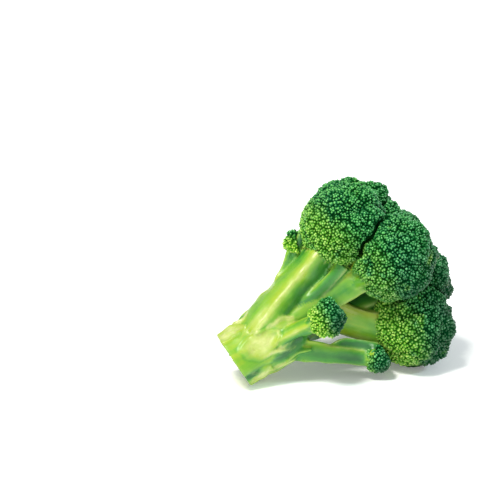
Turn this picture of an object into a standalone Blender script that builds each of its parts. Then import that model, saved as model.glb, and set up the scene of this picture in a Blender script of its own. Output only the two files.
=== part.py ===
"""A fresh head of broccoli, lying on its side, with its cut stalk down to the left and its crown up to the right.

Metres, +Z up. The origin is on the surface that the head lies on, under the middle of the head. The stalk forks
into a branch for each floret, and each floret is a dome of rounded lobes covered in bead-like clusters of buds.
"""

import math

import bmesh
import bpy
import numpy as np

MM = 0.001
HEAD = "broccoli_head"
GOLDEN_TURN = math.pi * (3 - math.sqrt(5))

# The stalk's middle line starts at the cut face and climbs to the right and to the back.
CUT_CENTRE = np.array([-62.36, -45.42, 15.3]) * MM
LINE_YAW = math.radians(28)
LINE_PITCH = math.radians(22)

# The saw cut isn't quite square to that line.
CUT_YAW = math.radians(11.8)
CUT_PITCH = math.radians(32.1)

STALK_RADIUS = 18.2 * MM
FORK = 45 * MM  # from the cut face to the point that the crown spreads from
FACING = 14 * MM  # the florets face away from this lower point of the line

# Distance up the line in mm, and the stalk's radius there as a share of STALK_RADIUS.
TRUNK = ((-14, 1.0), (0, 1.0), (10, 1.0), (20, 1.05), (30, 1.1), (40, 1.0), (50, 0.6))

# Name, turn round the line in degrees (0 is up, 90 the near side), lean from the line in degrees,
# distance from the fork in mm, radius in mm, underside as a share of the radius below the middle,
# its branch's radius in mm, and where the branch leaves the stalk as a share of FORK.
FLORETS = (
    ("floret_top", 6, 40.5, 63.0, 29.0, 0.80, 10.5, 0.45),
    ("floret_near", 56, 26, 68.4, 28.5, 0.85, 6.6, 0.61),
    ("floret_low", 146, 31.5, 70.2, 28.3, 0.98, 8.8, 1.2),
    ("floret_nose", 155, 12.5, 82.2, 21.5, 0.80, 6.2, 0.80),
    ("floret_middle", 292, 14, 80.3, 25.0, 0.80, 6.0, 0.80),
    ("floret_back_low", 214, 34, 82.3, 24.0, 0.80, 6.5, 0.62),
    ("floret_back", 255, 34, 77.4, 25.0, 0.80, 6.5, 0.56),
    ("floret_back_top", 300, 28, 84.0, 25.5, 0.80, 6.5, 0.65),
    ("floret_small_left", 349, 62, 47.6, 10.2, 0.80, 2.7, 0.42),
    ("floret_small_near", 73, 78.5, 35.4, 13.7, 0.80, 4.8, 0.35),
    ("floret_small_low", 138, 57, 53.2, 11.2, 0.80, 5.8, 0.58),
    ("floret_small_back", 247, 70, 47.5, 12.0, 0.80, 3.8, 0.36),
    ("floret_small_top", 310, 47, 54.1, 11.5, 0.80, 3.8, 0.48),
)
GAP = 0.15 * MM  # each floret keeps this far inside the plane that it shares with a neighbour
ROUNDING = 0.9 * MM  # how soft the rim is where two florets press together

# Lobes are balls set round a floret's middle. Shares are of the floret's radius.
LOBES_FROM_RADIUS = 0.36  # lobes for each mm of radius
FEWEST_LOBES = 3
LOBE_OUT = 0.58
LOBE_RADIUS = 0.49
BODY_SHARE = 0.92  # the ball that shows between the lobes
LOBE_BLEND = 30  # power of the mean that joins lobes: larger is sharper
LOBE_COVER = 1.05  # 1 spreads them over the outer half
LOBE_HEIGHT_JITTER = 0.06
LOBE_TURN_JITTER = 0.2

# Bead-like clusters stand in for the buds, larger than life.
BEAD_PITCH = 5.35 * MM
BEAD_DEPTH = 0.26 * BEAD_PITCH  # from a bead's tip to the dimples round it
HEXAGON = 0.866  # area that a bead takes, as a share of its pitch squared
PRESSED_SHARE = 5  # one point in this many is kept where a floret is pressed flat
NEAR_GROUND = 2.5 * MM  # all points are kept this close to the surface that the head lies on

# Branches. Shares are of the branch's length unless said otherwise.
BRANCH_STEPS = 12
BRANCH_LEAVE = 0.36
BRANCH_ARRIVE = 0.42
BRANCH_SPLAY = 0.9
BRANCH_TAPER = 0.35  # how much thicker it starts, as a share of its radius
BRANCH_TIP = 0.2  # of the floret's radius, from its middle down to the branch's tip
BRANCH_FLARE = 0.42  # of the floret's radius, where the branch meets it
FLARE_START = 0.5
ROOT_ASIDE = 0.8 * STALK_RADIUS  # for a branch that leaves at the cut

# Side shoots spread from a branch under a large floret. Shares are of the floret's radius.
TWIGS_FROM_RADIUS = 0.2  # side shoots for each mm of radius
FEWEST_TWIGS = 3
TWIG_FORK = 7  # step of the branch that they leave from
TWIG_BEND = 0.55  # of the way up
TWIG_OUT = 0.5
TWIG_BELOW = 0.4
TWIG_RADII = (0.144, 0.192)

# Leaf scars: distance up the line in mm, turn round the line in degrees, length and width in mm.
LEAF_SCARS = (
    (17, 62, 21, 16),
    (6, 4, 17, 14),
    (11, 128, 16, 13),
    (20, 190, 17, 14),
    (9, 255, 18, 14),
    (23, 312, 16, 13),
)
SCAR_PROUD = 1.7 * MM
SCAR_SUNK = 2.2 * MM
SCAR_TILT = 0.08

# Stumps of leaf stalks: distance up the line in mm, turn in degrees and length in mm.
LEAF_STUMPS = (
    (25, 120, 18),
    (29, 84, 7),
    (21, 236, 13),
    (30, 330, 9),
)
STUMP_RADII = (3.6 * MM, 1.7 * MM)
STUMP_SUNK = 1.5 * MM
STUMP_LEAN = 0.32

# The pieces of the stalk are grown together by a remesh.
TUBE_RESOLUTION = 4
WELD = 0.01 * MM
VOXEL = 1.35 * MM
SMOOTH_FACTOR = 0.5
SMOOTH_STEPS = 4
STALK_TRIANGLES = 4300
SEAT_GAP = 0.3 * MM  # between a floret's underside and its branch
CUTTER_SIZE = 400 * MM
SHARP_ANGLE = math.radians(40)

STALK_COLOUR = (0.36, 0.56, 0.10, 1)
BUD_COLOUR = (0.035, 0.16, 0.035, 1)


def unit(vector):
    return vector / np.linalg.norm(vector)


def direction(yaw, pitch):
    """The unit vector that turns by yaw from +X towards +Y and climbs by pitch."""
    return np.array([math.cos(pitch) * math.cos(yaw), math.cos(pitch) * math.sin(yaw), math.sin(pitch)])


UP = np.array([0.0, 0.0, 1.0])
LINE = direction(LINE_YAW, LINE_PITCH)
LINE_UP = unit(UP - LINE[2] * LINE)
LINE_NEAR = np.cross(LINE, LINE_UP)


def on_line(height):
    """A point of the stalk's middle line."""
    return CUT_CENTRE + height * LINE


def round_line(turn):
    """The unit vector square to the stalk's line, at that turn round it in degrees."""
    angle = math.radians(turn)
    return math.cos(angle) * LINE_UP + math.sin(angle) * LINE_NEAR


def across(axis, towards):
    """Two unit vectors square to an axis and to each other."""
    side = unit(np.cross(axis, towards))
    return side, np.cross(axis, side)


class Floret:
    """One floret's place and size, with the lobes that make its outline."""

    def __init__(self, number, name, turn, lean, distance, radius, underside, stem, start):
        self.name = name
        self.radius = radius * MM
        self.underside = underside * self.radius
        self.stem = stem * MM
        self.start = start
        self.aside = round_line(turn)
        self.lean_share = math.sin(math.radians(lean))
        outwards = math.cos(math.radians(lean)) * LINE + self.lean_share * self.aside
        self.centre = on_line(FORK) + distance * MM * outwards
        self.facing = unit(self.centre - on_line(FACING))
        self.side, self.other_side = across(self.facing, LINE_UP + 0.4 * LINE_NEAR)
        self.lobes = self.lobe_centres(np.random.default_rng(number))

    def lobe_centres(self, rng):
        """Middles of the lobes, spread over the outer side in a sunflower's order."""
        count = max(FEWEST_LOBES, round(LOBES_FROM_RADIUS * self.radius / MM))
        step = np.arange(count)
        height = 1 - (step + 0.5) / count * LOBE_COVER
        height = height + rng.uniform(-LOBE_HEIGHT_JITTER, LOBE_HEIGHT_JITTER, count)
        turn = step * GOLDEN_TURN + rng.uniform(0, 2 * math.pi)
        turn = turn + rng.uniform(-LOBE_TURN_JITTER, LOBE_TURN_JITTER, count)
        spread = np.sqrt(np.clip(1 - height**2, 0, 1))
        points = np.outer(height, self.facing)
        points = points + np.outer(spread * np.cos(turn), self.side)
        points = points + np.outer(spread * np.sin(turn), self.other_side)
        return LOBE_OUT * self.radius * points


def sphere_reach(directions, centre, radius):
    """How far a sphere reaches along each direction from the origin, or 0 where it is missed."""
    along = directions @ centre
    under_root = radius**2 - centre @ centre + along**2
    return np.where(under_root > 0, along + np.sqrt(np.maximum(under_root, 0)), 0)


def dome_reach(floret, directions):
    """How far the lobed dome reaches along each direction from the floret's middle."""
    body = np.full(len(directions), BODY_SHARE * floret.radius)
    lobes = [sphere_reach(directions, lobe, LOBE_RADIUS * floret.radius) for lobe in floret.lobes]
    powers = [(reach / floret.radius) ** LOBE_BLEND for reach in [body, *lobes]]
    return floret.radius * np.sum(powers, axis=0) ** (1 / LOBE_BLEND)


def plane_reach(directions, normal, distance):
    """How far each direction goes before it meets a plane. A metre stands for never."""
    towards = directions @ normal
    return np.where(towards > 1e-6, distance / np.maximum(towards, 1e-6), 1.0)


def walls_reach(floret, florets, directions):
    """How far each direction may go inside the planes shared with neighbours and the flat underside."""
    walls = [plane_reach(directions, -floret.facing, floret.underside)]
    for other in florets:
        if other is floret:
            continue
        away = other.centre - floret.centre
        apart = np.linalg.norm(away)
        shared = (apart**2 + floret.radius**2 - other.radius**2) / (2 * apart)
        walls.append(plane_reach(directions, away / apart, shared - GAP))
    return np.array(walls)


def floret_reach(floret, florets, directions):
    """The floret's outline along each direction, and whether it is free dome there and not pressed flat."""
    dome = dome_reach(floret, directions)
    walls = walls_reach(floret, florets, directions)
    limits = np.vstack([dome[None], walls])
    nearest = limits.min(axis=0)
    soft = nearest - ROUNDING * np.log(np.exp((nearest - limits) / ROUNDING).sum(axis=0))
    ground = plane_reach(directions, -UP, floret.centre[2])
    return np.minimum(soft, ground), (dome < walls.min(axis=0)) & (soft < ground)


def sunflower_directions(count):
    """Evenly spread unit vectors."""
    step = np.arange(count)
    height = 1 - (2 * step + 1) / count
    spread = np.sqrt(1 - height**2)
    turn = step * GOLDEN_TURN
    return np.stack([spread * np.cos(turn), spread * np.sin(turn), height], axis=1)


def collection(name):
    made = bpy.data.collections.new(name)
    bpy.context.scene.collection.children.link(made)
    return made


def material(name, colour, roughness):
    made = bpy.data.materials.new(name)
    made.use_nodes = True
    surface = made.node_tree.nodes["Principled BSDF"]
    surface.inputs["Base Color"].default_value = colour
    surface.inputs["Roughness"].default_value = roughness
    surface.inputs["Metallic"].default_value = 0
    made.diffuse_color = colour
    return made


def object_of(mesh, name, owner):
    """A new object from a bmesh, which is freed."""
    data = bpy.data.meshes.new(name)
    mesh.to_mesh(data)
    mesh.free()
    made = bpy.data.objects.new(name, data)
    owner.objects.link(made)
    return made


def places_of(mesh):
    return np.array([vertex.co for vertex in mesh.verts])


def move_to(mesh, places):
    for vertex, place in zip(mesh.verts, places):
        vertex.co = place


def hull_of(points):
    """A bmesh of the triangles round some points."""
    mesh = bmesh.new()
    for point in points:
        mesh.verts.new(point)
    hull = bmesh.ops.convex_hull(mesh, input=mesh.verts[:])
    bmesh.ops.delete(mesh, geom=hull["geom_interior"], context="VERTS")
    bmesh.ops.recalc_face_normals(mesh, faces=mesh.faces[:])
    return mesh


def bead_tips(floret, florets):
    """Directions of the beads' tips, with fewer points where the floret is pressed flat and has no beads."""
    count = round(4 * math.pi * floret.radius**2 / (HEXAGON * BEAD_PITCH**2))
    directions = sunflower_directions(count)
    _, free = floret_reach(floret, florets, directions)
    low = -floret.radius * directions[:, 2] > floret.centre[2] - NEAR_GROUND
    return directions[free | low | (np.arange(count) % PRESSED_SHARE == 0)]


def make_floret(floret, florets, owner):
    """A floret's dome. Its hull's corners become bead tips, and a dimple goes into each face between them."""
    mesh = hull_of(bead_tips(floret, florets))
    ridges = mesh.edges[:]
    dimples = set(bmesh.ops.poke(mesh, faces=mesh.faces[:])["verts"])
    bmesh.ops.rotate_edges(mesh, edges=ridges, use_ccw=False)
    is_dimple = np.array([vertex in dimples for vertex in mesh.verts])
    directions = places_of(mesh)
    directions /= np.linalg.norm(directions, axis=1)[:, None]
    reach, free = floret_reach(floret, florets, directions)
    reach = reach - BEAD_DEPTH * (is_dimple & free)
    move_to(mesh, floret.centre + reach[:, None] * directions)
    made = object_of(mesh, floret.name, owner)
    made.data.materials.append(material(floret.name + "_buds", BUD_COLOUR, 0.6))
    return made


def bezier(points):
    """Points along a cubic Bezier curve."""
    share = np.linspace(0, 1, BRANCH_STEPS)[:, None]
    start, first, second, end = points
    rest = 1 - share
    return rest**3 * start + 3 * rest**2 * share * first + 3 * rest * share**2 * second + share**3 * end


def branch_path(floret):
    """Middle line and radii of a branch, from inside the stalk up into its floret."""
    root = on_line(FORK * floret.start) + ROOT_ASIDE * (1 - floret.start) * floret.aside
    tip = floret.centre - BRANCH_TIP * floret.radius * floret.facing
    length = np.linalg.norm(tip - root)
    leave = root + BRANCH_LEAVE * length * unit(LINE + BRANCH_SPLAY * floret.lean_share * floret.aside)
    arrive = tip - BRANCH_ARRIVE * length * floret.facing
    share = np.linspace(0, 1, BRANCH_STEPS)
    flare = BRANCH_FLARE * floret.radius - floret.stem
    flared = flare * np.clip((share - FLARE_START) / (1 - FLARE_START), 0, 1) ** 2
    return bezier((root, leave, arrive, tip)), floret.stem * (1 + BRANCH_TAPER * (1 - share) ** 2) + flared


def twig_paths(floret):
    """Middle lines and radii of the side shoots that spread under a large floret."""
    count = round(TWIGS_FROM_RADIUS * floret.radius / MM)
    if count < FEWEST_TWIGS:
        return []
    start = branch_path(floret)[0][TWIG_FORK]
    radii = floret.radius * np.linspace(*TWIG_RADII, BRANCH_STEPS)
    paths = []
    for turn in 2 * math.pi * (np.arange(count) + 0.35) / count:
        spread = math.cos(turn) * floret.side + math.sin(turn) * floret.other_side
        tip = floret.centre + floret.radius * (TWIG_OUT * spread - TWIG_BELOW * floret.facing)
        bend = start + TWIG_BEND * ((tip - start) @ floret.facing) * floret.facing
        paths.append((bezier((start, bend, tip - 0.2 * (tip - bend), tip)), radii))
    return paths


def trunk_path():
    """Middle line and radii of the stalk below its branches. It starts past the cut, which trims it."""
    path = np.array([on_line(height * MM) for height, _ in TRUNK])
    return path, np.array([STALK_RADIUS * share for _, share in TRUNK])


def stump_path(height, turn, length):
    """Middle line and radii of a leaf stalk's stump, which leans forwards off the stalk's skin."""
    outwards = round_line(turn)
    root = on_line(height * MM) + (STALK_RADIUS - STUMP_SUNK) * outwards
    tip = root + length * MM * unit(LINE + STUMP_LEAN * outwards)
    bend = (root + tip - STUMP_LEAN * length * MM * outwards) / 2
    return bezier((root, bend, bend, tip)), np.linspace(*STUMP_RADII, BRANCH_STEPS)


def tube(path, radii):
    """A closed bmesh tube of varying radius along a path."""
    curve = bpy.data.curves.new("tube", "CURVE")
    curve.dimensions = "3D"
    curve.bevel_depth = 1.0
    curve.bevel_resolution = TUBE_RESOLUTION
    curve.use_fill_caps = True
    spline = curve.splines.new("POLY")
    spline.points.add(len(path) - 1)
    for point, place, radius in zip(spline.points, path, radii):
        point.co = (*place, 1)
        point.radius = radius
    holder = bpy.data.objects.new("tube", curve)
    bpy.context.scene.collection.objects.link(holder)
    bpy.context.view_layer.update()
    graph = bpy.context.evaluated_depsgraph_get()
    data = bpy.data.meshes.new_from_object(holder.evaluated_get(graph))
    bpy.data.objects.remove(holder)
    mesh = bmesh.new()
    mesh.from_mesh(data)
    bpy.data.meshes.remove(data)
    bmesh.ops.remove_doubles(mesh, verts=mesh.verts[:], dist=WELD)
    return mesh


def scar(height, turn, length, width):
    """A leaf scar: a low oval pad on the stalk's skin."""
    along = unit(LINE + SCAR_TILT * round_line(turn))
    side, inwards = across(along, round_line(turn))
    middle = on_line(height * MM) - (STALK_RADIUS - SCAR_SUNK) * inwards
    half_sizes = np.array([length / 2 * MM, width / 2 * MM, SCAR_SUNK + SCAR_PROUD])
    mesh = bmesh.new()
    bmesh.ops.create_icosphere(mesh, subdivisions=3, radius=1)
    move_to(mesh, middle + (places_of(mesh) * half_sizes) @ np.array([along, side, inwards]))
    return mesh


def joined(pieces):
    """One bmesh of several, which are freed."""
    whole = bmesh.new()
    for piece in pieces:
        data = bpy.data.meshes.new("piece")
        piece.to_mesh(data)
        piece.free()
        whole.from_mesh(data)
        bpy.data.meshes.remove(data)
    return whole


def apply_modifiers(holder):
    bpy.context.view_layer.update()
    graph = bpy.context.evaluated_depsgraph_get()
    data = bpy.data.meshes.new_from_object(holder.evaluated_get(graph))
    holder.modifiers.clear()
    holder.data = data


def grow_together(stalk):
    """Turns overlapping tubes and pads into one smooth skin."""
    grown = stalk.modifiers.new("grown_together", "REMESH")
    grown.mode = "VOXEL"
    grown.voxel_size = VOXEL
    smooth = stalk.modifiers.new("smooth", "SMOOTH")
    smooth.factor = SMOOTH_FACTOR
    smooth.iterations = SMOOTH_STEPS
    stalk.modifiers.new("triangles", "TRIANGULATE")
    apply_modifiers(stalk)
    fewer = stalk.modifiers.new("fewer", "DECIMATE")
    fewer.ratio = min(1.0, STALK_TRIANGLES / len(stalk.data.polygons))
    apply_modifiers(stalk)


def make_plane_cutter(name, point, outwards, owner):
    """A large box whose one face is the plane through a point."""
    side, other = across(outwards, LINE_NEAR)
    mesh = bmesh.new()
    bmesh.ops.create_cube(mesh, size=CUTTER_SIZE)
    places = places_of(mesh) @ np.array([side, other, outwards])
    move_to(mesh, point + CUTTER_SIZE / 2 * outwards + places)
    object_of(mesh, name, owner)


def make_seat_cutter(floret, shell, owner):
    """The floret's hull grown by the gap, which shapes the end of its branch."""
    places = np.array([vertex.co for vertex in shell.data.vertices])
    grown = 1 + SEAT_GAP / floret.underside
    object_of(hull_of(floret.centre + grown * (places - floret.centre)), "seat_" + floret.name, owner)


def make_stalk(florets, shells, owner, cutters):
    """Stalk and branches in one body, cut at the foot, flat where it lies and seated under each floret."""
    pieces = [tube(*trunk_path())]
    for floret in florets:
        pieces.append(tube(*branch_path(floret)))
        pieces += [tube(*twig) for twig in twig_paths(floret)]
    pieces += [scar(*numbers) for numbers in LEAF_SCARS]
    pieces += [tube(*stump_path(*numbers)) for numbers in LEAF_STUMPS]
    stalk = object_of(joined(pieces), "stalk", owner)
    grow_together(stalk)

    make_plane_cutter("foot", CUT_CENTRE, -direction(CUT_YAW, CUT_PITCH), cutters)
    make_plane_cutter("ground", np.zeros(3), -UP, cutters)
    for floret, shell in zip(florets, shells):
        make_seat_cutter(floret, shell, cutters)
    for cutter in cutters.objects:
        trim = stalk.modifiers.new("trim_" + cutter.name, "BOOLEAN")
        trim.operation = "DIFFERENCE"
        trim.object = cutter
    apply_modifiers(stalk)
    stalk.data.shade_smooth()
    stalk.data.set_sharp_from_angle(angle=SHARP_ANGLE)
    stalk.data.materials.append(material("stalk_skin", STALK_COLOUR, 0.45))


def main():
    for old in list(bpy.data.objects):
        bpy.data.objects.remove(old)
    head = collection(HEAD)
    cutters = collection("cutters")
    florets = [Floret(number, *row) for number, row in enumerate(FLORETS)]
    shells = [make_floret(floret, florets, head) for floret in florets]
    make_stalk(florets, shells, head, cutters)
    for cutter in cutters.objects:
        cutter.hide_render = True
        cutter.display_type = "WIRE"


main()
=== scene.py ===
"""The looks of a fresh head of broccoli that lies on its side on a white table.

Metres, +Z up, in the CAD frame. Each floret is a core under a crowd of closed buds, and the stalk is
one fine skin over its trunk, branches and side shoots. The florets' sizes and lobes are the CAD's.
"""

import math

import bmesh
import bpy
import numpy as np
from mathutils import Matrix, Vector, kdtree, noise

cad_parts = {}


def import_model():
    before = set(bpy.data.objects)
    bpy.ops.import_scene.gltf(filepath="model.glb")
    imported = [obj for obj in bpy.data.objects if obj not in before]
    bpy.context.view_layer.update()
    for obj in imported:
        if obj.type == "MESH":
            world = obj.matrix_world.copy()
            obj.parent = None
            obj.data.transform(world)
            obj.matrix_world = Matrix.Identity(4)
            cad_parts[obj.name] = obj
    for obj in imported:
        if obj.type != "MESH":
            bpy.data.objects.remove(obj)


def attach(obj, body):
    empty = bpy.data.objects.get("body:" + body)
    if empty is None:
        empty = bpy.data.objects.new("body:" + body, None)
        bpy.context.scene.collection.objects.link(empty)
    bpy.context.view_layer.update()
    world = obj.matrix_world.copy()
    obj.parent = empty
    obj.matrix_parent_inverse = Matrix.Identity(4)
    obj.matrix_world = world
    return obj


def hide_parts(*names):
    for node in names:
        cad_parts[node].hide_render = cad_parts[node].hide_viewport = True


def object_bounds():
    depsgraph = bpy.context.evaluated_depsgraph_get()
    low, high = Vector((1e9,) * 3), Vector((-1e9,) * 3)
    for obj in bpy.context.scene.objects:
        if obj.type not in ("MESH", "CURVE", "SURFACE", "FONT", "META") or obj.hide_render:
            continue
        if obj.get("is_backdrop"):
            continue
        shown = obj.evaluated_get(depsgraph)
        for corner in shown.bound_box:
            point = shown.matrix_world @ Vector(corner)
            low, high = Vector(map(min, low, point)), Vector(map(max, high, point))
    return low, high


MM = 0.001
TINY = 1e-6
GOLDEN_TURN = math.pi * (3 - math.sqrt(5))

# The stalk's middle line, its cut and its fork, as in the CAD.
CUT_CENTRE = np.array([-62.36, -45.42, 15.3]) * MM
LINE_YAW = math.radians(28)
LINE_PITCH = math.radians(22)
CUT_YAW = math.radians(11.8)
CUT_PITCH = math.radians(32.1)
STALK_RADIUS = 18.2 * MM
FORK = 45 * MM
FACING = 14 * MM
TRUNK = ((-14, 1.0), (0, 1.0), (10, 1.0), (20, 1.05), (30, 1.1), (40, 1.0), (50, 0.6))

# Name, turn, lean, distance, radius, underside, branch radius and start, as in the CAD. Then how yellow
# each floret is, how much painted light its buds get, the turn of its branch's sharpest rib and the
# branch's green.
FLORETS = (
    ("top", 6, 40.5, 63, 29, 0.8, 10.5, 0.45, 0.38, 0.9, 55, 0.45),
    ("near", 56, 26, 68.4, 28.5, 0.85, 6.6, 0.61, 0.24, 0.35, 15, 0.25),
    ("low", 146, 31.5, 70.2, 28.3, 0.98, 8.8, 1.2, 0.45, 0.1, 35, 0),
    ("nose", 155, 12.5, 82.2, 21.5, 0.8, 6.2, 0.8, 0.1, 0, 90, 0.9),
    ("middle", 292, 14, 80.3, 25, 0.8, 6, 0.8, 0.22, 0.2, 292, 0.9),
    ("back_low", 214, 34, 82.3, 24, 0.8, 6.5, 0.62, 0.35, 0.25, 214, 0.5),
    ("back", 255, 34, 77.4, 25, 0.8, 6.5, 0.56, 0.35, 0.25, 255, 0.5),
    ("back_top", 300, 28, 84, 25.5, 0.8, 6.5, 0.65, 0.35, 0.35, 300, 0.5),
    ("small_left", 349, 62, 47.6, 10.2, 0.8, 2.7, 0.42, 0.65, 0.95, 20, 0.2),
    ("small_near", 73, 78.5, 35.4, 13.7, 0.8, 4.8, 0.35, 0.66, 0, 75, 0.15),
    ("small_low", 138, 57, 53.2, 11.2, 0.8, 5.8, 0.58, 0.2, 0, 30, 0.7),
    ("small_back", 247, 70, 47.5, 12, 0.8, 3.8, 0.36, 0.65, 0.5, 247, 0.25),
    ("small_top", 310, 47, 54.1, 11.5, 0.8, 3.8, 0.48, 0.6, 0.55, 310, 0.25),
)
GAP = 0.15 * MM
ROUNDING = 0.9 * MM
LOBES_FROM_RADIUS = 0.36
LOBE_OUT = 0.58
LOBE_RADIUS = 0.49
BODY_SHARE = 0.92
LOBE_BLEND = 30
LOBE_COVER = 1.05
LOBE_HEIGHT_JITTER = 0.06
LOBE_TURN_JITTER = 0.2
BEAD_PITCH = 5.35 * MM
BEAD_JITTER = 0.16  # of the pitch
HEXAGON = 0.866  # area that a point of a hexagonal grid of pitch 1 takes up

# Branches and side shoots, as in the CAD.
BRANCH_LEAVE = 0.36
BRANCH_ARRIVE = 0.42
BRANCH_SPLAY = 0.9
BRANCH_TAPER = 0.35
BRANCH_TIP = 0.2
BRANCH_FLARE = 0.42
FLARE_START = 0.5
ROOT_ASIDE = 0.8 * STALK_RADIUS
TWIGS_FROM_RADIUS = 0.2
FEWEST_TWIGS = 3
TWIG_FORK = 7 / 11
TWIG_BEND = 0.55
TWIG_OUT = 0.5
TWIG_BELOW = 0.4
TWIG_TURN = 0.35
TWIG_END = 0.2
TWIG_RADII = (0.144, 0.192)

# Leaf scars: height up the line, turn, length and width. Here and below, the lengths are in mm and the
# turns round the line in degrees.
LEAF_SCARS = (
    (17, 62, 21, 16),
    (6, 4, 17, 14),
    (11, 128, 16, 13),
    (20, 190, 17, 14),
    (9, 255, 18, 14),
    (23, 312, 16, 13),
)
SCAR_PROUD = 1.7 * MM
SCAR_SUNK = 2.2 * MM
SCAR_TILT = 0.08
SCAR_TAIL = 1.4  # a scar is this much longer towards the cut
SCAR_GREEN = 0.1
SCAR_RIM = 0.45 * MM
SCAR_DISH = 1.0 * MM
SCAR_GROOVE = 0.15 * MM

# Stumps of leaf stalks: height, turn and length.
LEAF_STUMPS = (
    (25, 120, 18),
    (29, 84, 7),
    (21, 236, 13),
    (30, 330, 9),
)
STUMP_RADII = (3.6 * MM, 1.7 * MM)
STUMP_SUNK = 1.5 * MM
STUMP_LEAN = 0.32

# Pale ridges: height and turn where each starts and ends, and its radius.
RIDGES = (
    (15, 26, 36, 44, 1.3),
    (20, 38, 40, 50, 0.9),
    (25, 70, 41, 62, 1.3),
    (12, 84, 33, 100, 0.8),
    (2, 112, 30, 134, 0.9),
    (3, 350, 31, 344, 1.2),
    (4, 158, 34, 170, 1.1),
    (5, 200, 35, 212, 1.2),
    (8, 238, 36, 258, 1),
    (5, 282, 32, 300, 1.2),
    (3, 322, 28, 330, 1),
)

# Green hollows: height, turn, size and depth.
HOLLOWS = (
    (30, 24, 5.5, 0.9),
    (35, 96, 8, 0.9),
    (2, 112, 5.5, 0.5),
    (24, 104, 6, 0.6),
    (41, 12, 3, 1.6),
    (30, 150, 7, 0.8),
    (26, 186, 7, 0.8),
    (28, 226, 7, 0.9),
    (30, 278, 7, 0.9),
    (16, 336, 5, 0.6),
)

# Side shoots: the floret, the share of its branch where each leaves it, its turn, how far it reaches
# outwards and below the floret's middle as shares of the floret's radius, and its radius in mm.
SHOOTS = (
    ("top", 0.24, 120, 0.52, 0.6, 3.9),
    ("top", 0.2, 330, 0.55, 0.6, 2.6),
    ("low", 0.36, 150, 0.86, 0.72, 3.4),
    ("small_low", 0.6, 345, 0.46, 0.1, 3.2),
    ("back", 0.3, 300, 0.5, 0.6, 2.6),
    ("back_top", 0.35, 250, 0.5, 0.6, 2.6),
)
SHOOT_BEND = 0.45
SHOOT_SWELL = 0.35
SHOOT_END = 0.3

# Shreds of torn skin round the stump of a leaf: height and turn of their middle, spread and count.
SHREDS = (27, 76, (4.0, 13.0), 16)
SHRED_LENGTH = (1.6 * MM, 3.4 * MM)
SHRED_RADIUS = 0.62 * MM
SHRED_TILT = 0.8
SHRED_CURL = 0.4 * MM
SHRED_TIP = 0.7
SHRED_SEED = 300

# Height and radius of a bud's rings, from its tip down, for a bud of radius 1 and half-length 1.
BUD_RINGS = ((0.84, 0.46), (0.42, 0.86), (-0.20, 1.0))
BUD_SIDES = 8

BUD_SEED = 100
BUD_PITCH = 1.85 * MM
CANDIDATES = 12  # places tried for each bud
CROWDING = 0.82  # least share of the pitch between buds
RELAX_STEPS = 2
BUD_FILL = 0.58  # radius as a share of the distance to its neighbours
BUD_NEIGHBOURS = 4
BUD_SPACINGS = (0.7 * BUD_PITCH, 1.15 * BUD_PITCH)
BUD_SIZES = (0.85, 1.12)
BUD_WIDTHS = (0.72, 1.0)  # across, as a share of the other width
BUD_TILT = 0.24
BUD_SINK = 0.36 * MM  # the lowest buds lie this much deeper
BUD_LENGTH = 1.4  # half a bud's length as a share of its radius
BUD_LENGTHS = (0.9, 1.1)
BUD_INSET = 0.30 * MM  # from the tips out to the CAD's dome
SEAM = 3.0 * MM  # buds reach this far down where florets meet
SEAM_WAVE = 1.3 * MM  # a seam sways this far to each side
SEAM_WAYS = np.array([(0.25, 0.15, 0.30), (-0.35, 0.50, 0.55)]) / MM
SEAM_SHARES = (0.65, 0.35)
SEAM_LEAST = 0.7  # a seam keeps this share of its distance
LUMP_PITCH = 11.5 * MM
LUMP_DEPTH = 1.5 * MM
LUMP_JITTER = 0.25
CORE_DEPTH = 1.5 * MM  # below the buds' tips
CORE_PITCH = 1.3 * MM
CORE_HEIGHT = 0.22  # the height mark of the core's bare underside
CREASE_DEPTH = 0.9 * MM  # between clusters of buds
CREASE_SHADE = 0.2
CLUSTER_REACH = 0.62  # of the pitch, from the middle to the crease
HOLLOW = 0.55  # share of a floret's underside that is hollowed out
HOLLOW_POWER = 4
YELLOW_SIDE = 1.3  # the yellow side turns back down the stalk by this much
RIM_LEVEL = -0.55  # the yellow is full below this share of the radius
RIM_RISE = 0.90  # and reaches this much higher on a yellow floret
RIM_START = -0.25
RIM_STRENGTH = 1.6

# Skin and buds are painted lighter, as painted light, where they face this way, and painted darker, as
# painted shade, where they face away.
PAINTED_SUN_SIDE = np.array([-0.80, -0.10, 0.59])
# how strongly the buds' painted light and shade follow the way they face
PAINTED_SUN_ON_BUDS = 1.2

# Fine stalk
SKIN_VOXEL = 0.62 * MM
PATH_STEPS = 48
ALONG = np.linspace(0, 1, PATH_STEPS)
RING_SIDES = 40
RIB_TWIST = 0.35
RIB_MEAN = 0.6  # the fold where a tube keeps its radius
RIB_EDGE = 0.3  # the fold up to which a rib is pale
SHARP_DEPTH = 0.15  # ribs this deep have their full tint
RIDGE_SWAY = 3  # degrees
RIDGE_PROUD = 0.35  # of its radius
RIDGE_TIP = 0.25
RIDGE_POWER = 0.7
RIDGE_PALE = 0.8
ROOT_STEPS = 12
ROOT_LENGTH = 17 * MM
ROOT_TIP = 0.45
ROOT_SUNK = 0.2
SKIN_SMOOTHING = 9
MARK_SMOOTHING = 4
CAP_RINGS = 25
ON_CUT = 0.02 * MM
RIM_ROUND = 1.1 * MM
CUT_DISH = 0.7 * MM  # depth of the cut face at its middle
CUT_DISH_SPAN = (0.25 * STALK_RADIUS, 0.92 * STALK_RADIUS)
CUT_RING = 0.42 * MM
CUT_RING_DEPTH = 0.05 * MM
CUT_RING_SPAN = (0.75 * STALK_RADIUS, 0.95 * STALK_RADIUS)
PALE_GREEN = -1.0  # the mark of a piece that is pale all over
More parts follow.
